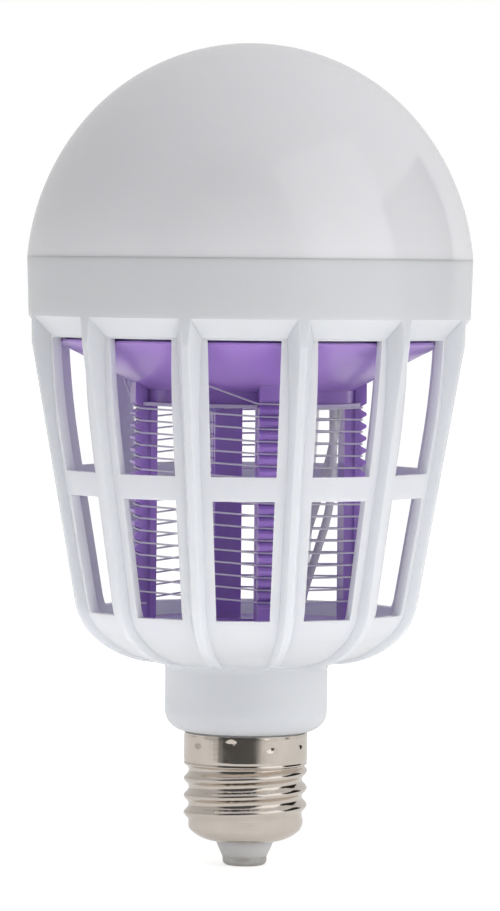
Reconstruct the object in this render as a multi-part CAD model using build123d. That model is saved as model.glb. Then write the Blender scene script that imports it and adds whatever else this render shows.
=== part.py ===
from build123d import *
import os
from math import atan2, cos, degrees, dist, pi, radians, sin, sqrt, tan

os.makedirs("parts", exist_ok=True)

# Insect killer light bulb. The origin is the middle of the centre contact's
# flat end, +Z runs up the lamp's axis to the dome, and -Y is the front.
# Every length is in millimetres and every angle in degrees.

# Edison screw cap, from the contact upwards
CONTACT_RADIUS = 4.7
CONTACT_THICKNESS = 1.9
CONTACT_EDGE_RADIUS = 1.1
RIVET_RADIUS = 1.2
RIVET_HEAD_RADIUS = 2.2
RIVET_HEAD_THICKNESS = 0.7
INSULATOR_HEIGHT = 3.25
INSULATOR_FOOT_RADIUS = 4.8
INSULATOR_SHOULDER_RADIUS = 6.2
INSULATOR_FLANGE_RADIUS = 6.8
INSULATOR_FLANGE_THICKNESS = 2.0
INSULATOR_CLEARANCE = 0.1
SHELL_WALL = 0.35
SHELL_HEIGHT = 23.15
SKIRT_RADIUS = 13.1
SKIRT_LENGTH = 6.6
SHELL_LIP_HOLE_RADIUS = 5.2
FOOT_BEND_RADIUS = 8.0
FOOT_BEND_TURN = 45.0
CORNER_BEND_RADIUS = 1.2
THREAD_CREST_RADIUS = 13.1
THREAD_ROOT_RADIUS = 12.05
THREAD_PITCH = 3.629
THREAD_START_RISE = 3.75
THREAD_END_DROP = 1.33
THREAD_START_ANGLE = -34.7
THREAD_CREST_WIDTH = 1.0
THREAD_FOOT_WIDTH = 2.7
SHOULDER_SLOPE_HEIGHT = 0.6

# Neck of the cage, which carries the cap
NECK_RADIUS = 17.2
NECK_LENGTH = 14.7
NECK_BORE_RADIUS = 15.2
NECK_FILLET = 4.4
NECK_ROOT_FILLET = 1.6
RIM_GAP = 0.3
SPIGOT_CLEARANCE = 0.15
SPIGOT_WALL = 1.8

# Cage: a bowl, a side that leans outwards, and a collar
BOWL_RIM_HEIGHT = 13.0
BOWL_RIM_RADIUS = 35.3
BOWL_FIRST_BEND = 12.0
BOWL_BEND_SPLIT = 45.0
SIDE_LEAN = 10.0
SIDE_STRAIGHT_HEIGHT = 31.7
SIDE_BELLY_RADIUS = 175.0
SIDE_BELLY_TURN = 8.0
CAGE_WALL = 2.0
COLLAR_STEP = 3.26
COLLAR_DRAFT = 0.4
COLLAR_HEIGHT = 12.45
COLLAR_WALL = 2.0
COLLAR_CHAMFER_HEIGHT = 3.9
LEDGE_ABOVE_CHAMFER = 0.7

# Ribs on the outside of the cage
RIB_COUNT = 12
RIB_CREST_STEP = 1.8
RIB_FIRST_BEND = 13.4
RIB_CREST_WIDTH = 1.5
RIB_FLANK_SLOPE = 0.55
RIB_DEPTH = 5.0
RIB_ROOT_LENGTH = 3.1

# Two windows one above the other between each pair of ribs
UPPER_WINDOW_HEIGHT = 27.9
UPPER_WINDOW_TOP_WIDTH = 15.0
UPPER_WINDOW_FOOT_WIDTH = 13.4
WINDOW_TOP_DROP = 4.3
WINDOW_BAR_HEIGHT = 5.0
LOWER_WINDOW_HEIGHT = 24.8
LOWER_WINDOW_TOP_WIDTH = 12.7
LOWER_WINDOW_FOOT_WIDTH = 10.95

# Opal dome, whose side arc starts from a centre beyond the axis
DOME_EQUATOR_DROP = 4.3
DOME_SIDE_CENTRE_OFFSET = 4.45
DOME_CROWN_CENTRE_RISE = 3.55
DOME_WALL = 1.6
DOME_SPIGOT_LENGTH = 5.0
DOME_SPIGOT_WALL = 1.5
DOME_SPIGOT_CLEARANCE = 0.15

# Funnel over the killing grid
FUNNEL_WALL = 1.4
FUNNEL_CLEARANCE = 0.3
FUNNEL_NECK_STEP = 2.85
FUNNEL_NECK_LENGTH = 2.6
FUNNEL_CONE_HEIGHT = 10.0
FUNNEL_LIP_HEIGHT = 0.5
FUNNEL_RIM_HEIGHT = 6.0
FUNNEL_RIM_INSET = 1.2
FUNNEL_FLANGE_THICKNESS = 2.0
FUNNEL_FLANGE_CLEARANCE = 0.2
BOARD_LEDGE_WIDTH = 2.0
BOARD_LEDGE_DROP = 6.0
LURE_BOSS_RADIUS = 3.2
LURE_BOSS_INSET = 4.2
LURE_BOSS_HEIGHT = 6.0

# Toothed columns that carry the grid wires
COLUMN_ANGLES = (-76.5, 13.5, 103.5, 193.5)
COLUMN_WIDTH = 6.0
COLUMN_INSET = 8.35
COLUMN_DEPTH = 4.75
COLUMN_GROOVE_INSET = 2.95
COLUMN_GROOVE_WIDTH = 0.8
COLUMN_GROOVE_DEPTH = 0.4
NOTCH_DEPTH = 1.25
NOTCH_SPACING = 2.565
NOTCH_MOUTH = 2.0
NOTCH_FLOOR = 0.6
NOTCH_ROWS = 17
FIRST_NOTCH_DROP = 1.2

# Grid wires
GRID_WIRE_DIAMETER = 0.4
GRID_WIRE_SEAT = 0.03
GRID_WIRE_TAIL = 1.6
GRID_WIRE_HOLE_RADIUS = 0.7
GRID_WIRE_HOLE_STEP = 1.3
LIVE_WIRE_HOLE_ANGLE = -88.7
NEUTRAL_WIRE_HOLE_ANGLE = -20.5

# Disc under the columns
DISC_THICKNESS = 2.0
DISC_ABOVE_BOWL = 8.0
DISC_HOLE_INSET = 7.8
DISC_CLEARANCE = 0.2

# Lure board under the funnel's neck
LURE_BOARD_MARGIN = 1.5
LURE_BOARD_THICKNESS = 0.7
LURE_LED_COUNT = 8
LURE_LED_INSET = 9.1
LEAD_SLOT_RADIUS = 2.6

# Light board under the dome
LIGHT_BOARD_THICKNESS = 1.6
LIGHT_BOARD_CLEARANCE = 0.5
LIGHT_BOARD_SCREW_COUNT = 3
WHITE_LED_OUTER_COUNT = 16
WHITE_LED_OUTER_CIRCLE = 33.0
WHITE_LED_INNER_COUNT = 8
WHITE_LED_INNER_CIRCLE = 18.0
LED_LENGTH = 3.5
LED_WIDTH = 2.8
LED_HEIGHT = 0.7

# Driver board and its components
DRIVER_BOARD_THICKNESS = 1.6
DRIVER_BOARD_CLEARANCE = 0.3
FILM_CAPACITOR_SIZE = (15.0, 6.0, 11.0)
SMOOTHING_CAPACITOR_RADIUS = 4.0
SMOOTHING_CAPACITOR_LENGTH = 8.4
MULTIPLIER_CAPACITOR_SIZE = (7.2, 2.5, 7.0)
MULTIPLIER_CAPACITOR_COUNT = 4
MULTIPLIER_CAPACITOR_SPACING = 4.2
RECTIFIER_SIZE = (8.4, 6.4, 2.6)
RECTIFIER_OFFSET = 12.6
FUSE_RESISTOR_RADIUS = 1.7
FUSE_RESISTOR_LENGTH = 9.0
FUSE_RESISTOR_SEAT = 0.05
CONNECTOR_SIZE = (7.5, 5.8)
COMPONENT_GAP = 1.8

# Self-tapping screws
SCREW_SHANK_RADIUS = 0.9
SCREW_HEAD_RADIUS = 1.6
SCREW_HEAD_THICKNESS = 1.3
SCREW_LENGTH = 6.0
SCREW_CLEARANCE = 0.05
SCREW_HOLE_SPARE = 0.3

# Sleeved mains leads: each route is chosen by hand, from the cap to the driver. Its
# upper points are given by their distance inside the columns' outer faces, y and height.
LEAD_DIAMETER = 1.7
LEAD_BEND_SHARE = 0.45
LIVE_LEAD_IN_CAP = [(0.4, 0.2, 8.6), (2.2, 0.6, 28.0)]
LIVE_LEAD_INSETS = [
    (18.35, -0.6, 51.0),
    (10.55, -2.6, 76.5),
    (6.95, -2.7, 89.5),
    (5.75, -2.4, 98.5),
    (5.95, -2.3, 112.8),
]
NEUTRAL_LEAD_IN_CAP = [(10.4, -1.0, 10.2), (8.7, -1.8, 29.0)]
NEUTRAL_LEAD_INSETS = [
    (15.05, -2.9, 51.0),
    (7.25, -4.7, 76.5),
    (6.95, -4.9, 89.5),
    (7.05, -4.9, 98.5),
    (7.15, -5.0, 112.8),
]

# Heights and radii that follow from the sizes above
shell_foot = CONTACT_THICKNESS + INSULATOR_HEIGHT
shell_top = shell_foot + SHELL_HEIGHT
skirt_foot = shell_top - SKIRT_LENGTH
neck_foot = shell_top + RIM_GAP
bowl_foot = neck_foot + NECK_LENGTH
bowl_rim = bowl_foot + BOWL_RIM_HEIGHT
lean = radians(SIDE_LEAN)
belly_end = radians(SIDE_LEAN - SIDE_BELLY_TURN)
bend_split = radians(BOWL_BEND_SPLIT)
side_top = bowl_rim + SIDE_STRAIGHT_HEIGHT + SIDE_BELLY_RADIUS * (sin(lean) - sin(belly_end))
collar_foot = side_top + COLLAR_CHAMFER_HEIGHT
seam = collar_foot + COLLAR_HEIGHT
ledge = collar_foot + LEDGE_ABOVE_CHAMFER
flange_top = ledge + FUNNEL_FLANGE_THICKNESS
side_top_radius = BOWL_RIM_RADIUS + SIDE_STRAIGHT_HEIGHT * tan(lean)
side_top_radius += SIDE_BELLY_RADIUS * (cos(belly_end) - cos(lean))
collar_foot_radius = side_top_radius + COLLAR_STEP
collar_radius = collar_foot_radius + COLLAR_DRAFT
collar_bore = collar_radius - COLLAR_WALL
disc_top = bowl_foot + DISC_ABOVE_BOWL
disc_foot = disc_top - DISC_THICKNESS
cone_top = ledge - FUNNEL_RIM_HEIGHT
cone_foot = cone_top - FUNNEL_CONE_HEIGHT
funnel_foot = cone_foot - FUNNEL_NECK_LENGTH
lure_board_foot = funnel_foot - LURE_BOARD_THICKNESS
driver_board_foot = flange_top - BOARD_LEDGE_DROP
driver_board_top = driver_board_foot + DRIVER_BOARD_THICKNESS
light_board_top = flange_top + LIGHT_BOARD_THICKNESS
first_notch = funnel_foot - FIRST_NOTCH_DROP
column_outer = BOWL_RIM_RADIUS - CAGE_WALL - COLUMN_INSET
notch_floor = column_outer - NOTCH_DEPTH
column_inner = column_outer - COLUMN_DEPTH
column_screw_circle = (column_inner + notch_floor) / 2
funnel_neck = column_outer - FUNNEL_NECK_STEP
lure_board_radius = funnel_neck + LURE_BOARD_MARGIN
disc_hole = column_inner - DISC_HOLE_INSET


def turned(*lines):
    """Solid of revolution of a closed outline drawn as radius and height."""
    return revolve(make_face([Plane.XZ * line for line in lines]), Axis.Z)


def turned_corners(*corners):
    """Solid of revolution of a straight-sided outline."""
    return turned(Polyline(*corners, close=True))


def post(radius, foot, top, x=0.0, y=0.0):
    """Upright round bar between two heights."""
    return Pos(x, y, (foot + top) / 2) * Cylinder(radius, top - foot)


def block(size, foot, x=0.0, y=0.0):
    """Upright box on a given height."""
    length, width, height = size
    return Pos(x, y, foot + height / 2) * Box(length, width, height)


def around(piece, count, first_angle=0.0):
    """Copies of a piece evenly spaced about the axis."""
    return [Rot(0, 0, first_angle + 360 / count * step) * piece for step in range(count)]


def on_circle(radius, angle):
    """Point at an angle from the front, towards +X."""
    return (radius * sin(radians(angle)), -radius * cos(radians(angle)))


def write(piece, name):
    """Write one piece, or a group of like pieces, under its own name."""
    solids = piece if isinstance(piece, list) else [piece]
    solids = [solid for item in solids for solid in item.solids()]
    shape = solids[0] if len(solids) == 1 else Compound(children=solids)
    shape.label = name
    export_step(shape, f"parts/{name}.step")


def screw(face, direction, x, y):
    """Pan-head screw whose head sits on a face and whose shank points down (-1) or up (1)."""
    shank_end = face + direction * SCREW_LENGTH
    head_end = face - direction * SCREW_HEAD_THICKNESS
    shank = post(SCREW_SHANK_RADIUS, min(face, shank_end), max(face, shank_end), x, y)
    head = post(SCREW_HEAD_RADIUS, min(face, head_end), max(face, head_end), x, y)
    return shank + head


def screw_hole(face, direction, x, y):
    """Hole for a screw seated on a face, a little deeper than its shank."""
    end = face + direction * (SCREW_LENGTH + SCREW_HOLE_SPARE)
    radius = SCREW_SHANK_RADIUS + SCREW_CLEARANCE
    return post(radius, min(face, end), max(face, end), x, y)


# Centre contact: a turned button with a rivet shank up through the insulator
lip_top = shell_foot + SHELL_WALL
insulator_top = lip_top + INSULATOR_CLEARANCE + INSULATOR_FLANGE_THICKNESS
rivet_head_top = insulator_top + RIVET_HEAD_THICKNESS
contact_flat = CONTACT_RADIUS - CONTACT_EDGE_RADIUS
contact_edge = JernArc((contact_flat, 0), (1, 0), CONTACT_EDGE_RADIUS, 90)
contact_rest = Polyline(
    (CONTACT_RADIUS, CONTACT_EDGE_RADIUS),
    (CONTACT_RADIUS, CONTACT_THICKNESS),
    (RIVET_RADIUS, CONTACT_THICKNESS),
    (RIVET_RADIUS, insulator_top),
    (RIVET_HEAD_RADIUS, insulator_top),
    (RIVET_HEAD_RADIUS, rivet_head_top),
    (0, rivet_head_top),
    (0, 0),
    (contact_flat, 0),
)
write(turned(contact_edge, contact_rest), "centre_contact")

# Insulator: a cone below the shell's lip and a flange above it
insulator_neck = SHELL_LIP_HOLE_RADIUS - INSULATOR_CLEARANCE
insulator_bore = RIVET_RADIUS + INSULATOR_CLEARANCE
insulator = turned_corners(
    (insulator_bore, CONTACT_THICKNESS),
    (INSULATOR_FOOT_RADIUS, CONTACT_THICKNESS),
    (INSULATOR_SHOULDER_RADIUS, shell_foot),
    (insulator_neck, shell_foot),
    (insulator_neck, lip_top + INSULATOR_CLEARANCE),
    (INSULATOR_FLANGE_RADIUS, lip_top + INSULATOR_CLEARANCE),
    (INSULATOR_FLANGE_RADIUS, insulator_top),
    (insulator_bore, insulator_top),
)
write(insulator, "cap_insulator")


def edison_thread():
    """Right-hand ridge of the shell, swept along its helix."""
    depth = THREAD_CREST_RADIUS - THREAD_ROOT_RADIUS
    thread_foot = shell_foot + THREAD_START_RISE
    height = skirt_foot - THREAD_END_DROP - thread_foot
    helix = Helix(THREAD_PITCH, height, THREAD_ROOT_RADIUS, center=(0, 0, thread_foot))
    section_plane = Plane(origin=helix @ 0, x_dir=(1, 0, 0), z_dir=helix % 0)
    corners = [
        (-SHELL_WALL / 2, THREAD_FOOT_WIDTH / 2),
        (depth, THREAD_CREST_WIDTH / 2),
        (depth, -THREAD_CREST_WIDTH / 2),
        (-SHELL_WALL / 2, -THREAD_FOOT_WIDTH / 2),
    ]
    section = make_face(section_plane * Polyline(*corners, close=True))
    return Rot(0, 0, THREAD_START_ANGLE) * sweep(section, path=helix, is_frenet=True)


# Screw shell: rolled sheet with a lip at its foot, a thread and a plain skirt
skirt_bore = SKIRT_RADIUS - SHELL_WALL
shell_bore = THREAD_ROOT_RADIUS - SHELL_WALL
foot_turn = radians(FOOT_BEND_TURN)
wide_run = FOOT_BEND_RADIUS * sin(foot_turn)
close_run = CORNER_BEND_RADIUS * (1 - sin(foot_turn))
lip_radius = THREAD_ROOT_RADIUS - wide_run - close_run


def foot_bends(height, inset):
    """Wide bend from the level lip, then a close one up to the thread."""
    wide = JernArc((lip_radius, height), (1, 0), FOOT_BEND_RADIUS - inset, FOOT_BEND_TURN)
    close = JernArc(wide @ 1, wide % 1, CORNER_BEND_RADIUS - inset, 90 - FOOT_BEND_TURN)
    return wide, close


outer_foot = foot_bends(shell_foot, 0)
inner_foot = foot_bends(lip_top, SHELL_WALL)
shell_outside = Polyline(
    outer_foot[1] @ 1,
    (THREAD_ROOT_RADIUS, skirt_foot - SHOULDER_SLOPE_HEIGHT),
    (SKIRT_RADIUS, skirt_foot),
    (SKIRT_RADIUS, shell_top),
    (skirt_bore, shell_top),
    (skirt_bore, skirt_foot),
    (shell_bore, skirt_foot - SHOULDER_SLOPE_HEIGHT),
    inner_foot[1] @ 1,
)
shell_lip = Polyline(
    (lip_radius, lip_top),
    (SHELL_LIP_HOLE_RADIUS, lip_top),
    (SHELL_LIP_HOLE_RADIUS, shell_foot),
    (lip_radius, shell_foot),
)
screw_shell = turned(*outer_foot, shell_outside, *inner_foot, shell_lip) + edison_thread()
write(screw_shell, "screw_shell")


def bowl_bends(rim, foot, first_bend):
    """Two tangent arcs from the side's lean down to a level floor at the foot height."""
    height = rim[1] - foot
    second_bend = height - first_bend * (sin(bend_split) - sin(lean))
    second_bend /= 1 - sin(bend_split)
    first = JernArc(rim, (-sin(lean), -cos(lean)), first_bend, SIDE_LEAN - BOWL_BEND_SPLIT)
    second = JernArc(first @ 1, first % 1, second_bend, BOWL_BEND_SPLIT - 90)
    return first, second


def side_lines(inset):
    """Bowl, straight side and belly of the cage's skin, moved inwards by inset."""
    rim = (BOWL_RIM_RADIUS - inset * cos(lean), bowl_rim + inset * sin(lean))
    run = SIDE_STRAIGHT_HEIGHT / cos(lean)
    straight = Line(rim, (rim[0] + run * sin(lean), rim[1] + run * cos(lean)))
    belly = JernArc(straight @ 1, straight % 1, SIDE_BELLY_RADIUS - inset, SIDE_BELLY_TURN)
    first, second = bowl_bends(rim, bowl_foot + inset, BOWL_FIRST_BEND - inset)
    return second, first, straight, belly


def bowl_radius(height):
    """Inner radius of the bowl at a height on its two bends."""
    second, first, _, _ = side_lines(CAGE_WALL)
    bend = first if height > (first @ 1).Y else second
    centre = bend.arc_center
    return centre.X + sqrt(bend.radius ** 2 - (height - centre.Y) ** 2)


def cage_skin():
    """Solid outer form of bowl, side, chamfer and collar, with the collar left oversize."""
    second, first, straight, belly = side_lines(0)
    spare = COLLAR_WALL
    slope = COLLAR_STEP / COLLAR_CHAMFER_HEIGHT
    rest = Polyline(
        belly @ 1,
        (collar_foot_radius + spare, collar_foot + spare / slope),
        (collar_radius + spare, seam),
        (0, seam),
        (0, bowl_foot),
        second @ 1,
    )
    return turned(second, first, straight, belly, rest)


def cage_neck():
    """Round neck with its fillets and the spigot that enters the screw shell."""
    spigot = skirt_bore - SPIGOT_CLEARANCE
    shoulder = NECK_RADIUS - NECK_FILLET
    fillet_arc = JernArc((shoulder, neck_foot), (1, 0), NECK_FILLET, 90)
    spigot_foot = skirt_foot + RIM_GAP
    root_arc = JernArc((NECK_RADIUS, bowl_foot - NECK_ROOT_FILLET), (0, 1), NECK_ROOT_FILLET, -90)
    run = Line(fillet_arc @ 1, root_arc @ 0)
    rest = Polyline(
        root_arc @ 1,
        (NECK_RADIUS + NECK_ROOT_FILLET, bowl_foot + CAGE_WALL),
        (0, bowl_foot + CAGE_WALL),
        (0, spigot_foot),
        (spigot, spigot_foot),
        (spigot, neck_foot),
        (shoulder, neck_foot),
    )
    return turned(fillet_arc, run, root_arc, rest)


def cage_hollow():
    """Everything that is empty inside the cage: bore, bowl, side, ledge and collar."""
    second, first, straight, belly = side_lines(CAGE_WALL)
    inner_radius = (belly @ 1).X
    above = Polyline(
        belly @ 1,
        (inner_radius, ledge),
        (collar_bore, ledge),
        (collar_bore, seam + CAGE_WALL),
        (0, seam + CAGE_WALL),
        (0, bowl_foot + CAGE_WALL),
        second @ 1,
    )
    spigot_bore = skirt_bore - SPIGOT_CLEARANCE - SPIGOT_WALL
    neck_bore = turned_corners(
        (0, skirt_foot),
        (spigot_bore, skirt_foot),
        (spigot_bore, neck_foot + SPIGOT_WALL),
        (NECK_BORE_RADIUS, neck_foot + SPIGOT_WALL + NECK_FILLET),
        (NECK_BORE_RADIUS, bowl_foot + 2 * CAGE_WALL),
        (0, bowl_foot + 2 * CAGE_WALL),
    )
    return turned(second, first, straight, belly, above) + neck_bore


def cage_rib():
    """One rib on +X: a section with sloping flanks swept along its crest."""
    rim = (BOWL_RIM_RADIUS + RIB_CREST_STEP, bowl_rim)
    run = (collar_foot + COLLAR_CHAMFER_HEIGHT / 2 - bowl_rim) / cos(lean)
    first, second = bowl_bends(rim, bowl_foot, RIB_FIRST_BEND)
    start = ((second @ 1).X - RIB_ROOT_LENGTH, bowl_foot)
    crest = Line(start, second @ 1) + second + first
    crest += Line(rim, (rim[0] + run * sin(lean), rim[1] + run * cos(lean)))
    path = Plane.XZ * crest
    half = RIB_CREST_WIDTH / 2
    spread = half + RIB_FLANK_SLOPE * RIB_DEPTH
    section_plane = Plane(origin=(start[0], 0, start[1]), x_dir=(0, 1, 0), z_dir=(1, 0, 0))
    corners = [(-half, 0), (half, 0), (spread, RIB_DEPTH), (-spread, RIB_DEPTH)]
    section = make_face(section_plane * Polyline(*corners, close=True))
    return sweep(section, path=path)


def window_cutter(top_width, foot_width, foot, top):
    """Tapering opening cut straight inwards through the front of the cage."""
    reach = collar_radius + CAGE_WALL
    plane = Plane(origin=(0, -reach, 0), x_dir=(1, 0, 0), z_dir=(0, 1, 0))
    corners = [
        (-foot_width / 2, -foot),
        (foot_width / 2, -foot),
        (top_width / 2, -top),
        (-top_width / 2, -top),
    ]
    return extrude(make_face(plane * Polyline(*corners, close=True)), reach / 2, dir=(0, 1, 0))


def light_screw_places():
    """Centres of the screws that hold light board, funnel and cage together."""
    inner = (side_lines(CAGE_WALL)[3] @ 1).X
    circle = (inner + collar_bore) / 2
    step = 360 / LIGHT_BOARD_SCREW_COUNT
    return [on_circle(circle, step * index) for index in range(LIGHT_BOARD_SCREW_COUNT)]


# Cage body: skin, neck and ribs, trimmed to the collar, hollowed and pierced
upper_top = collar_foot - WINDOW_TOP_DROP
upper_foot = upper_top - UPPER_WINDOW_HEIGHT
lower_top = upper_foot - WINDOW_BAR_HEIGHT
lower_foot = lower_top - LOWER_WINDOW_HEIGHT
upper_widths = (UPPER_WINDOW_TOP_WIDTH, UPPER_WINDOW_FOOT_WIDTH)
lower_widths = (LOWER_WINDOW_TOP_WIDTH, LOWER_WINDOW_FOOT_WIDTH)
upper_window = window_cutter(*upper_widths, upper_foot, upper_top)
lower_window = window_cutter(*lower_widths, lower_foot, lower_top)
half_step = 180 / RIB_COUNT
rib_at_front = Rot(0, 0, -90) * cage_rib()
cage_body = cage_skin() + cage_neck() + around(rib_at_front, RIB_COUNT, half_step)
cage_body &= turned_corners(
    (0, 0),
    (collar_foot_radius, 0),
    (collar_foot_radius, collar_foot),
    (collar_radius, seam),
    (0, seam),
)
cage_body -= cage_hollow()
cage_body -= around(upper_window, RIB_COUNT) + around(lower_window, RIB_COUNT)
cage_body -= [screw_hole(light_board_top, -1, x, y) for x, y in light_screw_places()]
write(cage_body, "cage_body")

# Dome: two tangent arcs that continue the collar, with a spigot inside it
dome_equator = seam - DOME_EQUATOR_DROP
crown_centre = dome_equator + DOME_CROWN_CENTRE_RISE
side_arc = dist((-DOME_SIDE_CENTRE_OFFSET, dome_equator), (collar_radius, seam))
crown_arc = side_arc - dist((-DOME_SIDE_CENTRE_OFFSET, dome_equator), (0, crown_centre))
arcs_meet = degrees(atan2(DOME_CROWN_CENTRE_RISE, DOME_SIDE_CENTRE_OFFSET))
dome_radius = side_arc - DOME_SIDE_CENTRE_OFFSET
spigot_radius = collar_bore - DOME_SPIGOT_CLEARANCE


def dome_arcs(inset):
    """Side and crown arcs of the dome, moved inwards by inset, from the equator to the axis."""
    side = CenterArc((-DOME_SIDE_CENTRE_OFFSET, dome_equator), side_arc - inset, 0, arcs_meet)
    crown = CenterArc((0, crown_centre), crown_arc - inset, arcs_meet, 90 - arcs_meet)
    return side, crown


def dome_half(inset):
    """Half section of everything inside the dome's surface, above its equator."""
    side, crown = dome_arcs(inset)
    legs = Polyline(crown @ 1, (0, dome_equator), side @ 0)
    return make_face([Plane.XZ * line for line in (side, crown, legs)])


below_seam = Polyline(
    (0, 0),
    (2 * collar_radius, 0),
    (2 * collar_radius, seam),
    (0, seam),
    close=True,
)
spigot_outline = Polyline(
    (spigot_radius, seam - DOME_SPIGOT_LENGTH),
    (spigot_radius, seam),
    (dome_radius - DOME_WALL, seam + DOME_WALL),
    (spigot_radius - DOME_SPIGOT_WALL, seam + DOME_WALL),
    (spigot_radius - DOME_SPIGOT_WALL, seam - DOME_SPIGOT_LENGTH),
    close=True,
)
dome_section = dome_half(0) - dome_half(DOME_WALL) - make_face(Plane.XZ * below_seam)
dome_section += make_face(Plane.XZ * spigot_outline)
write(revolve(dome_section, Axis.Z), "diffuser_dome")

# Grid frame: funnel and four toothed columns in one moulding
funnel_radius = (side_lines(CAGE_WALL)[3] @ 1).X - FUNNEL_CLEARANCE
rim_radius = funnel_radius - FUNNEL_RIM_INSET
funnel_bore = rim_radius - FUNNEL_WALL
neck_bore = funnel_neck - FUNNEL_WALL
flange_radius = collar_bore - FUNNEL_FLANGE_CLEARANCE
cone_slope = FUNNEL_CONE_HEIGHT / (funnel_radius - funnel_neck)
wall_rise = FUNNEL_WALL * sqrt(1 + cone_slope ** 2)


def cone_height(radius):
    """Height of the funnel's outside at a radius on its cone."""
    return cone_foot + cone_slope * (radius - funnel_neck)


def funnel_outside():
    """Solid form of neck, cone, lip, recessed rim and flange."""
    return turned_corners(
        (0, funnel_foot),
        (funnel_neck, funnel_foot),
        (funnel_neck, cone_foot),
        (funnel_radius, cone_top),
        (funnel_radius, cone_top + FUNNEL_LIP_HEIGHT),
        (rim_radius, cone_top + FUNNEL_LIP_HEIGHT),
        (rim_radius, ledge),
        (flange_radius, ledge),
        (flange_radius, flange_top),
        (0, flange_top),
    )


def funnel_hollow():
    """Space inside the funnel, with the ledge that carries the driver board."""
    ledge_bore = funnel_bore - BOARD_LEDGE_WIDTH
    return turned_corners(
        (0, funnel_foot - FUNNEL_WALL),
        (neck_bore, funnel_foot - FUNNEL_WALL),
        (neck_bore, cone_height(neck_bore) + wall_rise),
        (ledge_bore, cone_height(ledge_bore) + wall_rise),
        (ledge_bore, driver_board_foot),
        (funnel_bore, driver_board_foot),
        (funnel_bore, flange_top + FUNNEL_WALL),
        (0, flange_top + FUNNEL_WALL),
    )


def column_rows(index):
    """Half-pitch steps of a column's notches, whole rows on one pair, staggered on the other."""
    offset = -(index % 2)
    return [offset + 2 * row for row in range(NOTCH_ROWS)]


def column_bar():
    """Bar from the disc up into the cone, at the front, with a groove down each side."""
    depth = column_outer - column_inner
    top = cone_height(column_outer) + wall_rise / 2
    height = top - disc_top
    middle = (column_outer + column_inner) / 2
    bar = block((COLUMN_WIDTH, depth, height), disc_top, y=-middle)
    groove_circle = column_outer - COLUMN_GROOVE_INSET
    groove_size = (2 * COLUMN_GROOVE_DEPTH, COLUMN_GROOVE_WIDTH, height)
    for side in (-COLUMN_WIDTH / 2, COLUMN_WIDTH / 2):
        bar -= block(groove_size, disc_top, side, -groove_circle)
    return bar


def column_notches(index):
    """Cutters for the notches in the outer face of a column at the front, wide at the mouth."""
    mouth = NOTCH_MOUTH + (NOTCH_MOUTH - NOTCH_FLOOR)
    corners = [
        (-notch_floor, NOTCH_FLOOR / 2),
        (-notch_floor, -NOTCH_FLOOR / 2),
        (-column_outer - NOTCH_DEPTH, -mouth / 2),
        (-column_outer - NOTCH_DEPTH, mouth / 2),
    ]
    section = make_face(Plane.YZ * Polyline(*corners, close=True))
    cutter = extrude(section, COLUMN_WIDTH, both=True)
    steps = column_rows(index)
    return [Pos(0, 0, first_notch - step * NOTCH_SPACING / 2) * cutter for step in steps]


def column(index):
    """One notched column, turned to its own angle."""
    return Rot(0, 0, COLUMN_ANGLES[index]) * (column_bar() - column_notches(index))


boss_angles = [COLUMN_ANGLES[1], COLUMN_ANGLES[3]]
boss_places = [on_circle(funnel_neck - LURE_BOSS_INSET, angle) for angle in boss_angles]
foot_places = [on_circle(column_screw_circle, angle) for angle in COLUMN_ANGLES]
hole_circle = column_outer + GRID_WIRE_HOLE_STEP
live_hole = on_circle(hole_circle, LIVE_WIRE_HOLE_ANGLE)
neutral_hole = on_circle(hole_circle, NEUTRAL_WIRE_HOLE_ANGLE)

grid_frame = funnel_outside() - funnel_hollow()
inside_neck = post(neck_bore, funnel_foot, flange_top)
inside_wall = post(funnel_neck - FUNNEL_WALL / 2, funnel_foot, flange_top)
grid_frame += [column(index) - inside_neck for index in range(len(COLUMN_ANGLES))]
boss_top = funnel_foot + LURE_BOSS_HEIGHT
bosses = [post(LURE_BOSS_RADIUS, funnel_foot, boss_top, x, y) for x, y in boss_places]
grid_frame += [boss & inside_wall for boss in bosses]
grid_frame -= [screw_hole(disc_foot, 1, x, y) for x, y in foot_places]
grid_frame -= [screw_hole(lure_board_foot, 1, x, y) for x, y in boss_places]
grid_frame -= [screw_hole(light_board_top, -1, x, y) for x, y in light_screw_places()]
for x, y in (live_hole, neutral_hole):
    grid_frame -= post(GRID_WIRE_HOLE_RADIUS, cone_foot, driver_board_foot, x, y)
write(grid_frame, "grid_frame")

# Disc on which the columns stand, its edge following the bowl
base_disc = turned_corners(
    (disc_hole, disc_foot),
    (bowl_radius(disc_foot) - DISC_CLEARANCE, disc_foot),
    (bowl_radius(disc_top) - DISC_CLEARANCE, disc_top),
    (disc_hole, disc_top),
)
base_disc -= [screw_hole(disc_foot, 1, x, y) for x, y in foot_places]
write(base_disc, "base_disc")
write([screw(disc_foot, 1, x, y) for x, y in foot_places], "base_disc_screws")


def lead_route(in_cap, insets):
    """Corner points of a lead, in the cap and then inside the columns."""
    return in_cap + [(column_outer - inset, y, height) for inset, y, height in insets]


live_route = lead_route(LIVE_LEAD_IN_CAP, LIVE_LEAD_INSETS)
neutral_route = lead_route(NEUTRAL_LEAD_IN_CAP, NEUTRAL_LEAD_INSETS)

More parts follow.
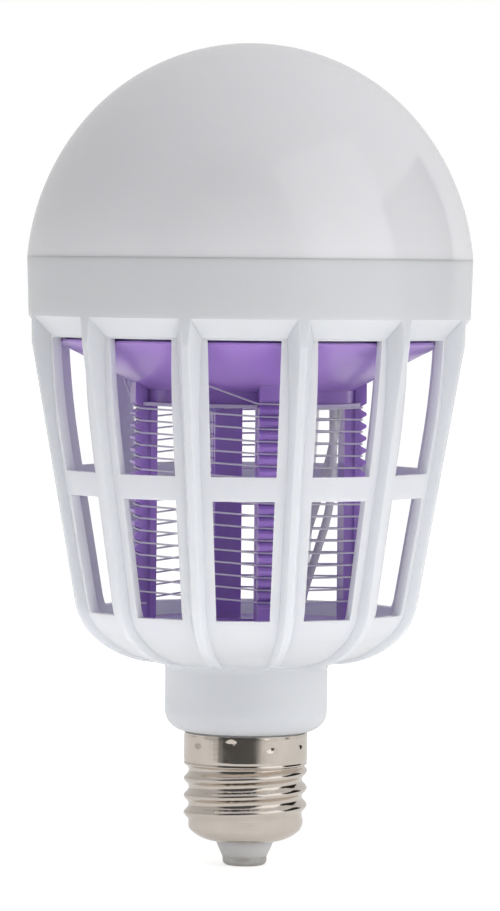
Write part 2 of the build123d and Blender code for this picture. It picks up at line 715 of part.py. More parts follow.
# Lure board: notched round the columns, with light sources facing the grid space
gap_width = COLUMN_WIDTH + 2 * DISC_CLEARANCE
gap_depth = 2 * (lure_board_radius - column_inner + DISC_CLEARANCE)
gap_size = (gap_width, gap_depth, LURE_BOARD_THICKNESS)
column_gap = block(gap_size, lure_board_foot, y=-lure_board_radius)
lure_board = post(lure_board_radius, lure_board_foot, funnel_foot)
lure_board -= [Rot(0, 0, angle) * column_gap for angle in COLUMN_ANGLES]
lure_board -= [screw_hole(lure_board_foot, 1, x, y) for x, y in boss_places]
slot = (Vector(live_route[-2]) + Vector(neutral_route[-2])) / 2
lure_board -= post(LEAD_SLOT_RADIUS, lure_board_foot, funnel_foot, slot.X, slot.Y)
write(lure_board, "lure_led_board")
write([screw(lure_board_foot, 1, x, y) for x, y in boss_places], "lure_board_screws")

led_size = (LED_LENGTH, LED_WIDTH, LED_HEIGHT)
lure_led = block(led_size, lure_board_foot - LED_HEIGHT, y=LURE_LED_INSET - lure_board_radius)
write(around(lure_led, LURE_LED_COUNT, COLUMN_ANGLES[1]), "lure_leds")

# Light board under the dome, its screws and its two rings of light sources
light_board = post(collar_bore - LIGHT_BOARD_CLEARANCE, flange_top, light_board_top)
light_board -= [screw_hole(light_board_top, -1, x, y) for x, y in light_screw_places()]
write(light_board, "light_board")
light_screws = [screw(light_board_top, -1, x, y) for x, y in light_screw_places()]
write(light_screws, "light_board_screws")
outer_led = block(led_size, light_board_top, y=-WHITE_LED_OUTER_CIRCLE)
inner_led = block(led_size, light_board_top, y=-WHITE_LED_INNER_CIRCLE)
white_leds = around(outer_led, WHITE_LED_OUTER_COUNT) + around(inner_led, WHITE_LED_INNER_COUNT)
write(white_leds, "white_leds")

# Driver board on the funnel's inner ledge, components hanging below it
write(post(funnel_bore - DRIVER_BOARD_CLEARANCE, driver_board_foot, driver_board_top), "driver_board")
film_foot = driver_board_foot - FILM_CAPACITOR_SIZE[2]
write(block(FILM_CAPACITOR_SIZE, film_foot), "film_capacitor")
smoothing_y = FILM_CAPACITOR_SIZE[1] / 2 + SMOOTHING_CAPACITOR_RADIUS + COMPONENT_GAP
smoothing_foot = driver_board_foot - SMOOTHING_CAPACITOR_LENGTH
smoothing = post(SMOOTHING_CAPACITOR_RADIUS, smoothing_foot, driver_board_foot, 0, smoothing_y)
write(smoothing, "smoothing_capacitor")

cap_width, cap_thickness, cap_height = MULTIPLIER_CAPACITOR_SIZE
multiplier_y = -(FILM_CAPACITOR_SIZE[1] / 2 + cap_width / 2 + COMPONENT_GAP)
multiplier_capacitors = []
for index in range(MULTIPLIER_CAPACITOR_COUNT):
    x = (index - (MULTIPLIER_CAPACITOR_COUNT - 1) / 2) * MULTIPLIER_CAPACITOR_SPACING
    size = (cap_thickness, cap_width, cap_height)
    multiplier_capacitors.append(block(size, driver_board_foot - cap_height, x, multiplier_y))
write(multiplier_capacitors, "multiplier_capacitors")

fuse_x = -(FILM_CAPACITOR_SIZE[0] / 2 + FUSE_RESISTOR_RADIUS + COMPONENT_GAP)
fuse = Rot(90, 0, 0) * Cylinder(FUSE_RESISTOR_RADIUS, FUSE_RESISTOR_LENGTH)
fuse_height = driver_board_foot - FUSE_RESISTOR_RADIUS - FUSE_RESISTOR_SEAT
write(Pos(fuse_x, 0, fuse_height) * fuse, "fuse_resistor")
write(block(RECTIFIER_SIZE, driver_board_top, RECTIFIER_OFFSET), "bridge_rectifier")
connector_size = (*CONNECTOR_SIZE, flange_top - driver_board_top)
write(block(connector_size, driver_board_top), "board_connector")


def wire_corner(column, side, height, inset=0):
    """Point where a grid wire bends round one edge of a column, or lies inset along its side."""
    turn = radians(COLUMN_ANGLES[column])
    stand_off = GRID_WIRE_DIAMETER / 2 + GRID_WIRE_SEAT
    out = notch_floor + stand_off - inset
    along = side * (COLUMN_WIDTH / 2 + stand_off)
    return (out * sin(turn) + along * cos(turn), -out * cos(turn) + along * sin(turn), height)


def winding(column_shift):
    """Corner points of a square winding that sinks half a notch pitch from column to column."""
    last_step = 2 * (NOTCH_ROWS - 1)
    across = dist(wire_corner(0, -1, 0), wire_corner(0, 1, 0))
    between = dist(wire_corner(0, 1, 0), wire_corner(1, -1, 0))
    tilt = NOTCH_SPACING / 2 * across / (across + between)
    corners = []
    for step in range(last_step + 1):
        column = (step + column_shift) % len(COLUMN_ANGLES)
        middle = first_notch - step * NOTCH_SPACING / 2
        corners.append(wire_corner(column, -1, middle + tilt / 2))
        corners.append(wire_corner(column, 1, middle - tilt / 2))
    corners.append(wire_corner(column, 1, middle - tilt / 2, GRID_WIRE_TAIL))
    return corners


def grid_wire(hole, corners, name):
    """Round wire from the driver board, down through its hole and along its winding."""
    lead_top = driver_board_foot - GRID_WIRE_SEAT
    below_hole = cone_height(hole_circle) - GRID_WIRE_DIAMETER
    points = [(*hole, lead_top), (*hole, below_hole), *corners]
    start = Plane(origin=points[0], z_dir=(0, 0, -1))
    section = start * Circle(GRID_WIRE_DIAMETER / 2)
    write(sweep(section, path=Polyline(*points), transition=Transition.RIGHT), name)


# The neutral wire first crosses the front column above the lure board and drops under it
top_notch = first_notch + NOTCH_SPACING / 2
neutral_entry = [
    wire_corner(1, -1, top_notch + GRID_WIRE_DIAMETER / 2),
    wire_corner(1, 1, top_notch),
    wire_corner(1, 1, first_notch + GRID_WIRE_DIAMETER / 4),
]
grid_wire(live_hole, winding(0), "live_grid_wire")
grid_wire(neutral_hole, neutral_entry + winding(2), "neutral_grid_wire")


def bend_radii(route):
    """Largest arc at each corner that leaves the middle of both its runs straight."""
    radii = []
    for before, corner, after in zip(route, route[1:], route[2:]):
        arriving = Vector(corner) - Vector(before)
        leaving = Vector(after) - Vector(corner)
        half_turn = radians(arriving.get_angle(leaving)) / 2
        shorter = min(arriving.length, leaving.length)
        radii.append(LEAD_BEND_SHARE * shorter / tan(half_turn))
    return radii


def mains_lead(route, name):
    """Sleeved lead of straight runs joined by tangent arcs."""
    radii = bend_radii(route)
    path = FilletPolyline(*route, radius=radii)
    start = Plane(origin=route[0], z_dir=path % 0)
    lead = sweep(start * Circle(LEAD_DIAMETER / 2), path=path)
    area_length = pi * LEAD_DIAMETER ** 2 / 4 * path.length
    print(name, "radii", [round(radius) for radius in radii])
    print("volume", round(lead.volume, 1), "section times length", round(area_length, 1))
    write(lead, name)


mains_lead(live_route, "live_mains_lead")
mains_lead(neutral_route, "neutral_mains_lead")
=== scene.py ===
# %% [markdown]
# # Insect killer light bulb, dressed in Blender
# The lamp arrives here as a finished solid model, with every moulding, wire and
# screw already in its place. This file gives each piece the surface of its real
# material, swaps the screw cap for one with a rolled thread, and builds the
# white studio in which the lamp stands.

# %% Load the solid model
from math import cos, exp, hypot, pi, radians, sin, tau

import bmesh
import bpy
from mathutils import Matrix, Vector


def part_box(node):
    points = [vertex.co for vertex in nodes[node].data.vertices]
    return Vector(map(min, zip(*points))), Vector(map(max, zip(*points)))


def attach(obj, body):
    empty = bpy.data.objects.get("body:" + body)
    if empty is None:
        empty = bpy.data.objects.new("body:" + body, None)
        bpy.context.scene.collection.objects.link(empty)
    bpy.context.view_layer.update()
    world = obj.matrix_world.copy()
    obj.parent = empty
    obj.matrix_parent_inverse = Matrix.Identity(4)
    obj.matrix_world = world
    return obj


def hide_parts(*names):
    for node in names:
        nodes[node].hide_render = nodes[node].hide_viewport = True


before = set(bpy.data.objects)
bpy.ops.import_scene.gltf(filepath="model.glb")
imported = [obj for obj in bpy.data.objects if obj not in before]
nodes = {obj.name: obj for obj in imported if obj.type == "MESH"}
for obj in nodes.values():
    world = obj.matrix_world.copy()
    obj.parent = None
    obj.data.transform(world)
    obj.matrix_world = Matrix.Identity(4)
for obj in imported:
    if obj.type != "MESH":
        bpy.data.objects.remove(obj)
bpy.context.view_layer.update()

MM = 0.001

# %% [markdown]
# The photograph was taken from about a metre away with a long lens, a little
# above the collar and looking slightly down, so the dome is seen level and the
# rims lower down open into thin ellipses. The camera stands at that height and
# distance, a degree round to the right because the front window is turned that
# much to the left, and rolled by the small lean that the lamp has in the frame.

# %% Camera
CAMERA_DISTANCE = 1010 * MM
CAMERA_HEIGHT = 127 * MM
AIM_HEIGHT = 86.9 * MM
AIM_RIGHT = 0.35 * MM
CAMERA_TURN = radians(1.3)
CAMERA_ROLL = radians(0.55)
FOCAL_LENGTH_MM = 188.7
NEAREST_SEEN = 0.05

toward_camera = Vector((sin(CAMERA_TURN), -cos(CAMERA_TURN), 0))
camera_right = Vector((cos(CAMERA_TURN), sin(CAMERA_TURN), 0))
aim = Vector((0, 0, AIM_HEIGHT)) + camera_right * AIM_RIGHT
eye = toward_camera * CAMERA_DISTANCE + camera_right * AIM_RIGHT + Vector((0, 0, CAMERA_HEIGHT))

lens = bpy.data.cameras.new("camera")
lens.lens = FOCAL_LENGTH_MM
lens.clip_start = NEAREST_SEEN
camera = bpy.data.objects.new("camera", lens)
bpy.context.scene.collection.objects.link(camera)
look = (aim - eye).to_track_quat("-Z", "Y").to_matrix().to_4x4()
camera.matrix_world = Matrix.Translation(eye) @ look @ Matrix.Rotation(CAMERA_ROLL, 4, "Z")
bpy.context.scene.camera = camera
print("camera to axis, mm:", round(eye.length / MM), "lens, mm:", FOCAL_LENGTH_MM)

# %% [markdown]
# Colours are written as the hex values that a colour picker shows. Blender's
# shaders work in linear light, so one function converts them. A second small
# function adds a shader node with its settings and links, and a third starts a
# material from the Principled shader. The sockets of a Mix node share their
# names, so they are given by number: for colours 0 is the factor, 6 and 7 are
# the two colours and output 2 is the result, and for plain values 2 and 3 are
# mixed.

# %% Helpers for materials
def linear(hex_colour):
    """Linear RGBA of an sRGB hex colour such as 'D2D2D8'."""
    channels = [int(hex_colour[index:index + 2], 16) / 255 for index in (0, 2, 4)]
    light = [c / 12.92 if c <= 0.04045 else ((c + 0.055) / 1.055) ** 2.4 for c in channels]
    return (*light, 1)


def add_node(tree, kind, inputs=None, **settings):
    """Add a node, set its properties, and give its inputs values or links."""
    node = tree.nodes.new(kind)
    for name, value in settings.items():
        setattr(node, name, value)
    for name, value in (inputs or {}).items():
        if isinstance(value, bpy.types.NodeSocket):
            tree.links.new(value, node.inputs[name])
        else:
            node.inputs[name].default_value = value
    return node


def start_material(name, **values):
    """New material with a Principled shader; values are its sockets, underscores for spaces."""
    material = bpy.data.materials.new(name)
    material.use_nodes = True
    tree = material.node_tree
    shader = tree.nodes["Principled BSDF"]
    for key, value in values.items():
        shader.inputs[key.replace("_", " ")].default_value = value
    place = tree.nodes.new("ShaderNodeTexCoord").outputs["Object"]
    return material, tree, shader, place


def per_metre(size_mm):
    """Texture scale at which one feature is about this many millimetres."""
    return 1 / (size_mm * MM)


def dress(material, *names):
    """Give a material to CAD nodes."""
    for name in names:
        nodes[name].data.materials.clear()
        nodes[name].data.materials.append(material)
    print(material.name, "on", ", ".join(names))


# %% [markdown]
# ## Opal dome
# The diffuser is polycarbonate with a little white pigment, injection moulded in
# a polished tool. Light enters it and comes back out a millimetre or two away,
# so it looks milky and its shadows are soft, while the surface stays glossy.
# Subsurface scattering gives the milkiness. A very low bump, about two
# centimetres long, stands for the slight waviness of a thin moulding.

# %% Opal polycarbonate, injection moulded
def opal_polycarbonate():
    material, tree, shader, place = start_material(
        "opal_polycarbonate_moulded",
        Roughness=0.1,
        IOR=1.585,
        Subsurface_Weight=0.5,
        Subsurface_Radius=(1.5 * MM, 1.5 * MM, 1.7 * MM),
        Subsurface_Scale=1.0,
    )
    flow = add_node(
        tree,
        "ShaderNodeTexNoise",
        {"Vector": place, "Scale": per_metre(45), "Detail": 2.0},
    )
    waviness = add_node(
        tree,
        "ShaderNodeTexNoise",
        {"Vector": place, "Scale": per_metre(18), "Detail": 1.0},
    )
    bump = add_node(
        tree,
        "ShaderNodeBump",
        {"Height": waviness.outputs[0], "Strength": 0.03, "Distance": 0.4 * MM},
    )
    colour = add_node(
        tree,
        "ShaderNodeMix",
        {0: flow.outputs[0], 6: linear("F4F2FA"), 7: linear("F5F5FD")},
        data_type="RGBA",
    )
    tree.links.new(colour.outputs[2], shader.inputs["Base Color"])
    tree.links.new(bump.outputs[0], shader.inputs["Normal"])
    return material


dress(opal_polycarbonate(), "diffuser_dome")

# %% [markdown]
# ## White cage
# The cage is one large ABS moulding with white pigment. Its tool was polished,
# so the collar and the rounded ribs show soft highlights. The resin cools a
# little unevenly, which leaves a faint mottle in the gloss that is a few
# millimetres across, so roughness and bump both follow a fine noise.

# %% White ABS, injection moulded
def white_abs():
    material, tree, shader, place = start_material(
        "white_abs_moulded",
        IOR=1.54,
        Subsurface_Weight=0.7,
        Subsurface_Radius=(2.5 * MM, 2.5 * MM, 2.8 * MM),
        Subsurface_Scale=1.0,
    )
    flow = add_node(
        tree,
        "ShaderNodeTexNoise",
        {"Vector": place, "Scale": per_metre(30), "Detail": 2.0},
    )
    mottle = add_node(
        tree,
        "ShaderNodeTexNoise",
        {"Vector": place, "Scale": per_metre(2.5), "Detail": 3.0},
    )
    gloss = add_node(
        tree,
        "ShaderNodeMapRange",
        {"Value": mottle.outputs[0], "To Min": 0.2, "To Max": 0.26},
    )
    bump = add_node(
        tree,
        "ShaderNodeBump",
        {"Height": mottle.outputs[0], "Strength": 0.02, "Distance": 0.1 * MM},
    )
    colour = add_node(
        tree,
        "ShaderNodeMix",
        {0: flow.outputs[0], 6: linear("DEE0E4"), 7: linear("E3E5E9")},
        data_type="RGBA",
    )
    tree.links.new(colour.outputs[2], shader.inputs["Base Color"])
    tree.links.new(gloss.outputs[0], shader.inputs["Roughness"])
    tree.links.new(bump.outputs[0], shader.inputs["Normal"])
    return material


dress(white_abs(), "cage_body")

# %% [markdown]
# ## Violet grid frame and base disc
# Funnel, columns and disc are ABS as well, dyed violet with little white in it,
# so light passes a little way into thin walls and the colour looks deep where
# they are thick. The tool's surface is polished, and the faces that lie nearly
# level mirror the bright surroundings.

# %% Violet ABS, injection moulded
def violet_abs():
    material, tree, shader, place = start_material(
        "violet_abs_moulded",
        IOR=1.54,
        Subsurface_Weight=0.5,
        Subsurface_Radius=(1.6 * MM, 1.0 * MM, 2.4 * MM),
        Subsurface_Scale=1.0,
    )
    flow = add_node(tree, "ShaderNodeTexNoise", {"Vector": place, "Scale": per_metre(9), "Detail": 3.0})
    mottle = add_node(
        tree,
        "ShaderNodeTexNoise",
        {"Vector": place, "Scale": per_metre(1.6), "Detail": 2.0},
    )
    gloss = add_node(
        tree,
        "ShaderNodeMapRange",
        {"Value": mottle.outputs[0], "To Min": 0.16, "To Max": 0.22},
    )
    bump = add_node(
        tree,
        "ShaderNodeBump",
        {"Height": mottle.outputs[0], "Strength": 0.03, "Distance": 0.1 * MM},
    )
    colour = add_node(
        tree,
        "ShaderNodeMix",
        {0: flow.outputs[0], 6: linear("A985D2"), 7: linear("B290DA")},
        data_type="RGBA",
    )
    tree.links.new(colour.outputs[2], shader.inputs["Base Color"])
    tree.links.new(gloss.outputs[0], shader.inputs["Roughness"])
    tree.links.new(bump.outputs[0], shader.inputs["Normal"])
    return material


dress(violet_abs(), "grid_frame", "base_disc")

# %% [markdown]
# ## Bare grid wires
# The killing wires are stainless steel, drawn through a die, which leaves fine
# lines along them. The lines are far too fine to see from a metre, so a noise
# with a grain of about half a millimetre stands for them and breaks up the
# bright line that each wire shows.

# %% Stainless steel, drawn
def drawn_steel():
    material, tree, shader, place = start_material("stainless_steel_drawn", Metallic=1.0)
    grain = add_node(
        tree,
        "ShaderNodeTexNoise",
        {"Vector": place, "Scale": per_metre(0.5), "Detail": 2.0},
    )
    gloss = add_node(
        tree,
        "ShaderNodeMapRange",
        {"Value": grain.outputs[0], "To Min": 0.3, "To Max": 0.5},
    )
    colour = add_node(
        tree,
        "ShaderNodeMix",
        {0: grain.outputs[0], 6: linear("ECEBEE"), 7: linear("F6F5F8")},
        data_type="RGBA",
    )
    tree.links.new(colour.outputs[2], shader.inputs["Base Color"])
    tree.links.new(gloss.outputs[0], shader.inputs["Roughness"])
    return material


dress(drawn_steel(), "live_grid_wire", "neutral_grid_wire")

# %% [markdown]
# ## Mains leads
# The two leads that climb from the cap to the driver are sleeved with woven
# glass fibre, which stands the heat beside the cap. The weave shows as fine
# ribs round the lead. The strands are really 0.2 mm wide; they are drawn at
# 0.5 mm here, so that they show at all from a metre away. A unit of Blender's
# wave texture holds about twenty waves.

# %% Glass fibre sleeving, braided
STRAND_MM = 0.5
WAVES_IN_UNIT = 20


def braided_sleeving():
    material, tree, shader, place = start_material("glass_fibre_braided", Roughness=0.55, IOR=1.5)
    along = add_node(
        tree,
        "ShaderNodeTexWave",
        {
            "Vector": place,
            "Scale": per_metre(STRAND_MM) / WAVES_IN_UNIT,
            "Distortion": 0.6,
            "Detail": 1.0,
        },
        wave_type="BANDS",
        bands_direction="Z",
    )
    soil = add_node(tree, "ShaderNodeTexNoise", {"Vector": place, "Scale": per_metre(3), "Detail": 2.0})
    bump = add_node(
        tree,
        "ShaderNodeBump",
        {"Height": along.outputs[1], "Strength": 0.5, "Distance": 0.1 * MM},
    )
    colour = add_node(
        tree,
        "ShaderNodeMix",
        {0: soil.outputs[0], 6: linear("D4D4D7"), 7: linear("E6E6E9")},
        data_type="RGBA",
    )
    tree.links.new(colour.outputs[2], shader.inputs["Base Color"])
    tree.links.new(bump.outputs[0], shader.inputs["Normal"])
    return material


dress(braided_sleeving(), "live_mains_lead", "neutral_mains_lead")

# %% [markdown]
# ## Screw cap
# The cap's shell is thin brass with bright nickel on it. The thread is rolled
# into the sheet, so it is one smooth wave inside and out, and a thread made of
# flat flanks would catch the light wrongly. The mesh below follows the shell's
# real section: a lip, two bends, a wave that turns with the height, and a plain
# skirt with eight small punch marks that pinch it onto the neck. Every point is
# worked out from its angle and its place along the section, which is the
# simplest way to make a surface that is almost, but not quite, turned.

# %% Section of the shell
THREAD_PITCH = 3.629 * MM
THREAD_TURNS = 3.9
THREAD_START = 8.9 * MM
THREAD_START_ANGLE = radians(-34.7)
THREAD_SHARPNESS = 1.25
FADE_TURNS = 0.3
CREST_RADIUS = 13.1 * MM
ROOT_RADIUS = 12.05 * MM
SHEET = 0.35 * MM
SKIRT_LENGTH = 6.6 * MM
SHOULDER_HEIGHT = 0.6 * MM
BEAD_ABOVE_SHOULDER = 0.5 * MM
BEAD_WIDTH = 0.22 * MM
BEAD_HEIGHT = 0.12 * MM
FOOT_BEND = 8.0 * MM
CORNER_BEND = 1.2 * MM
BEND_MEETS = radians(45)
LIP_HOLE_RADIUS = 5.2 * MM
STEPS_AROUND = 216
STEPS_UP = 170
STEPS_BEND = 18

shell_low, shell_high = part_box("screw_shell")
shell_foot = shell_low.z
shell_top = shell_high.z
skirt_foot = shell_top - SKIRT_LENGTH
lip_radius = ROOT_RADIUS - FOOT_BEND * sin(BEND_MEETS) - CORNER_BEND * (1 - sin(BEND_MEETS))
wall_foot = shell_foot + FOOT_BEND - (FOOT_BEND - CORNER_BEND) * cos(BEND_MEETS)
print("shell, mm:", round(shell_foot / MM, 2), "to", round(shell_top / MM, 2))


def smooth_step(value):
    """0 below 0, 1 above 1, and a smooth rise between them."""
    value = min(1, max(0, value))
    return value * value * (3 - 2 * value)


def thread_radius(angle, height):
    """Outer radius of the shell at an angle and a height, with the small bead under the skirt."""
    turns = (height - THREAD_START) / THREAD_PITCH
    turned_by = ((angle - THREAD_START_ANGLE) % tau) / tau
    nearest = round(turns - turned_by) + turned_by
    wave = 0.5 + 0.5 * cos(tau * (turns - nearest))
    fade = smooth_step(nearest / FADE_TURNS) * smooth_step((THREAD_TURNS - nearest) / FADE_TURNS)
    radius = ROOT_RADIUS + (CREST_RADIUS - ROOT_RADIUS) * fade * wave ** THREAD_SHARPNESS
    skirt = smooth_step((height - skirt_foot + SHOULDER_HEIGHT) / SHOULDER_HEIGHT)
    bead = exp(-((height - skirt_foot - BEAD_ABOVE_SHOULDER) / BEAD_WIDTH) ** 2)
    return radius + (CREST_RADIUS - radius) * skirt - BEAD_HEIGHT * bead


# %% [markdown]
# The punch marks are round dents in the skirt, given by their angle from the
# front in degrees and their height in millimetres. Those in front stand as the
# photograph shows them, and those behind are spaced alike. A bell curve pushes
# the sheet in around each centre. The skirt's rim is pressed in all round by an
# uneven amount, so its edge catches the light as a broken bright line.

# %% Punch marks
PUNCH_RADIUS = 0.7 * MM
PUNCH_DEPTH = 0.4 * MM
FRONT_MARKS = [(-49, 26.5), (-12, 26.8), (25, 25.9), (64, 26.2)]
BACK_MARKS = [(105, 26.4), (145, 26.0), (-135, 26.1), (-92, 26.3)]
RIM_PRESS = 0.1 * MM
RIM_HEIGHT = 0.9 * MM
RIM_WAVES = 17
RIM_BEATS = 3
RIM_MEAN = 0.6


def punched(angle, height):
    """How far punch marks and the pressed rim move the sheet inwards at a point of the skirt."""
    depth = 0
    for mark_angle, mark_height in FRONT_MARKS + BACK_MARKS:
        turn = (angle + pi / 2 - radians(mark_angle) + pi) % tau - pi
        away = hypot(turn * CREST_RADIUS, height - mark_height * MM) / PUNCH_RADIUS
        depth += PUNCH_DEPTH * exp(-away ** 2)
    rim = smooth_step((height - shell_top + RIM_HEIGHT) / RIM_HEIGHT)
    uneven = RIM_MEAN + (1 - RIM_MEAN) * sin(RIM_WAVES * angle) * cos(RIM_BEATS * angle)
    return depth + RIM_PRESS * rim * uneven


# %% Screw shell mesh
def foot_bend(bend, inward):
    """Radius and height on the shell's two foot bends; bend is 0 at the lip, pi / 2 at the wall."""
    if bend <= BEND_MEETS:
        reach = FOOT_BEND - inward
        return lip_radius + reach * sin(bend), shell_foot + FOOT_BEND - reach * cos(bend)
    reach = CORNER_BEND - inward
    centre = ROOT_RADIUS - CORNER_BEND
    return centre + reach * sin(bend), wall_foot - reach * cos(bend)


def shell_point(angle, step, inward):
    """Point of the shell's sheet; step counts along the section from the lip upwards."""
    if step == 0:
        radius, height = LIP_HOLE_RADIUS, shell_foot + inward
    elif step <= STEPS_BEND + 1:
        radius, height = foot_bend((step - 1) / STEPS_BEND * pi / 2, inward)
    else:
        share = (step - STEPS_BEND - 1) / STEPS_UP
        height = wall_foot + (shell_top - wall_foot) * share
        radius = thread_radius(angle, height) - punched(angle, height) - inward
    return Vector((radius * cos(angle), radius * sin(angle), height))


def screw_shell():
    mesh = bmesh.new()
    last = STEPS_BEND + 1 + STEPS_UP
    outside = [(step, 0) for step in range(last + 1)]
    inside = [(step, SHEET) for step in range(last, -1, -1)]
    angles = [tau * index / STEPS_AROUND for index in range(STEPS_AROUND)]
    rings = []
    for step, inward in outside + inside:
        rings.append([mesh.verts.new(shell_point(angle, step, inward)) for angle in angles])
    for ring, after in zip(rings, rings[1:] + rings[:1]):
        for index in range(STEPS_AROUND):
            near = (index + 1) % STEPS_AROUND
            mesh.faces.new((ring[index], ring[near], after[near], after[index])).smooth = True
    bmesh.ops.recalc_face_normals(mesh, faces=mesh.faces)
    data = bpy.data.meshes.new("screw_shell_rolled")
    mesh.to_mesh(data)
    mesh.free()
    return bpy.data.objects.new("screw_shell_rolled", data)


shell = screw_shell()
bpy.context.scene.collection.objects.link(shell)
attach(shell, "root")
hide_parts("screw_shell")
print("shell faces:", len(shell.data.polygons))

# %% [markdown]
# Bright nickel is a mirror that is slightly yellow against chrome. The rolling
# leaves fine lines round the cap, about 0.1 mm apart and drawn at 0.3 mm here.
# The punches pull the thin sheet into shallow upright folds about 1.5 mm apart,
# and the plating has faint stains. A noise that is stretched round the axis gives
# the lines, one that is stretched along the axis the folds, and a broad one the
# stains.

# %% Nickel plate on rolled brass
STRETCHED_ROUND = (0.08, 0.08, 1.0)
STRETCHED_UPRIGHT = (1.0, 1.0, 0.06)


def nickel_plate():
    material, tree, shader, place = start_material("nickel_plate_rolled", Metallic=1.0)
    around = add_node(tree, "ShaderNodeMapping", {"Vector": place, "Scale": STRETCHED_ROUND})
    upright = add_node(tree, "ShaderNodeMapping", {"Vector": place, "Scale": STRETCHED_UPRIGHT})
    lines = add_node(
        tree,
        "ShaderNodeTexNoise",
        {"Vector": around.outputs[0], "Scale": per_metre(0.3), "Detail": 2.0},
    )
    folds = add_node(
        tree,
        "ShaderNodeTexNoise",
        {"Vector": upright.outputs[0], "Scale": per_metre(1.5), "Detail": 2.0},
    )
    stains = add_node(
        tree,
        "ShaderNodeTexNoise",
        {"Vector": place, "Scale": per_metre(4), "Detail": 4.0},
    )
    gloss = add_node(
        tree,
        "ShaderNodeMapRange",
        {"Value": stains.outputs[0], "To Min": 0.06, "To Max": 0.14},
    )
    folded = add_node(
        tree,
        "ShaderNodeBump",
        {"Height": folds.outputs[0], "Strength": 0.5, "Distance": 0.12 * MM},
    )
    bump = add_node(
        tree,
        "ShaderNodeBump",
        {
            "Height": lines.outputs[0],
            "Strength": 0.12,
            "Distance": 0.05 * MM,
            "Normal": folded.outputs[0],
        },
    )
    colour = add_node(
        tree,
        "ShaderNodeMix",
        {0: stains.outputs[0], 6: linear("CFC5BA"), 7: linear("DED5CC")},
        data_type="RGBA",
    )
    tree.links.new(colour.outputs[2], shader.inputs["Base Color"])
    tree.links.new(gloss.outputs[0], shader.inputs["Roughness"])
    tree.links.new(bump.outputs[0], shader.inputs["Normal"])
    return material


plating = nickel_plate()
dress(plating, "screw_shell")
shell.data.materials.append(plating)

# %% [markdown]
# The button at the tip is tinned brass, worn by lampholder springs, and it is
# riveted through a pale insulator. The insulator is urea moulding compound, hard
# and slightly translucent, with a dull gloss.

# %% Tinned brass, turned, and urea moulding
def tinned_brass():
    material, tree, shader, place = start_material("tinned_brass_turned", Metallic=1.0)
    wear = add_node(
        tree,
        "ShaderNodeTexNoise",
        {"Vector": place, "Scale": per_metre(1.2), "Detail": 4.0},
    )
    gloss = add_node(
        tree,
        "ShaderNodeMapRange",
        {"Value": wear.outputs[0], "To Min": 0.28, "To Max": 0.5},
    )
    bump = add_node(
        tree,
        "ShaderNodeBump",
        {"Height": wear.outputs[0], "Strength": 0.3, "Distance": 0.05 * MM},
    )
    colour = add_node(
        tree,
        "ShaderNodeMix",
        {0: wear.outputs[0], 6: linear("B4B2B0"), 7: linear("CCCAC8")},
        data_type="RGBA",
    )
    tree.links.new(colour.outputs[2], shader.inputs["Base Color"])
    tree.links.new(gloss.outputs[0], shader.inputs["Roughness"])
    tree.links.new(bump.outputs[0], shader.inputs["Normal"])
    return material


def urea_moulding():
    material, tree, shader, place = start_material(
        "urea_moulding",
        IOR=1.54,
        Subsurface_Weight=0.6,
        Subsurface_Radius=(2.5 * MM, 2.4 * MM, 2.2 * MM),
        Subsurface_Scale=1.0,
    )
    grain = add_node(
        tree,
        "ShaderNodeTexNoise",
        {"Vector": place, "Scale": per_metre(0.8), "Detail": 3.0},
    )
    gloss = add_node(
        tree,
        "ShaderNodeMapRange",
        {"Value": grain.outputs[0], "To Min": 0.35, "To Max": 0.5},
    )
    colour = add_node(
        tree,
        "ShaderNodeMix",
        {0: grain.outputs[0], 6: linear("F9F8F7"), 7: linear("FDFCFB")},
        data_type="RGBA",
    )
    tree.links.new(colour.outputs[2], shader.inputs["Base Color"])
    tree.links.new(gloss.outputs[0], shader.inputs["Roughness"])
    return material


dress(tinned_brass(), "centre_contact")
dress(urea_moulding(), "cap_insulator")

# %% [markdown]
# ## Boards
# Three boards are hidden inside. The light board is aluminium with a white
# solder mask, the lure board is the same laminate as any small board with a
# white mask, and the driver board is plain phenolic paper laminate, tan, with
# copper tracks under a clear lacquer. The mask's orange peel and the laminate's
# fibres show close up, so each gets its own noise. The tracks are the joints of
# a brick pattern, of which a unit holds four rows.

# %% Solder mask on a board, screen printed
def solder_mask(name, dark, light):
    material, tree, shader, place = start_material(name, IOR=1.5)
    peel = add_node(
        tree,
        "ShaderNodeTexNoise",
        {"Vector": place, "Scale": per_metre(0.7), "Detail": 2.0},
    )
    gloss = add_node(
        tree,
        "ShaderNodeMapRange",
        {"Value": peel.outputs[0], "To Min": 0.3, "To Max": 0.45},
    )
    bump = add_node(
        tree,
        "ShaderNodeBump",
        {"Height": peel.outputs[0], "Strength": 0.2, "Distance": 0.03 * MM},
    )
    colour = add_node(
        tree,
        "ShaderNodeMix",
        {0: peel.outputs[0], 6: linear(dark), 7: linear(light)},
        data_type="RGBA",
    )
    tree.links.new(colour.outputs[2], shader.inputs["Base Color"])
    tree.links.new(gloss.outputs[0], shader.inputs["Roughness"])
    tree.links.new(bump.outputs[0], shader.inputs["Normal"])
    return material


dress(solder_mask("white_mask_on_aluminium", "E4E4E2", "EFEFED"), "light_board")
dress(solder_mask("white_mask_on_laminate", "C9C0DA", "D8D0E6"), "lure_led_board")

# %% Phenolic paper laminate, pressed
TRACK_SPACING_MM = 2.54
TRACK_WIDTH_MM = 0.48
ROWS_IN_UNIT = 4
UNIT_MM = TRACK_SPACING_MM * ROWS_IN_UNIT


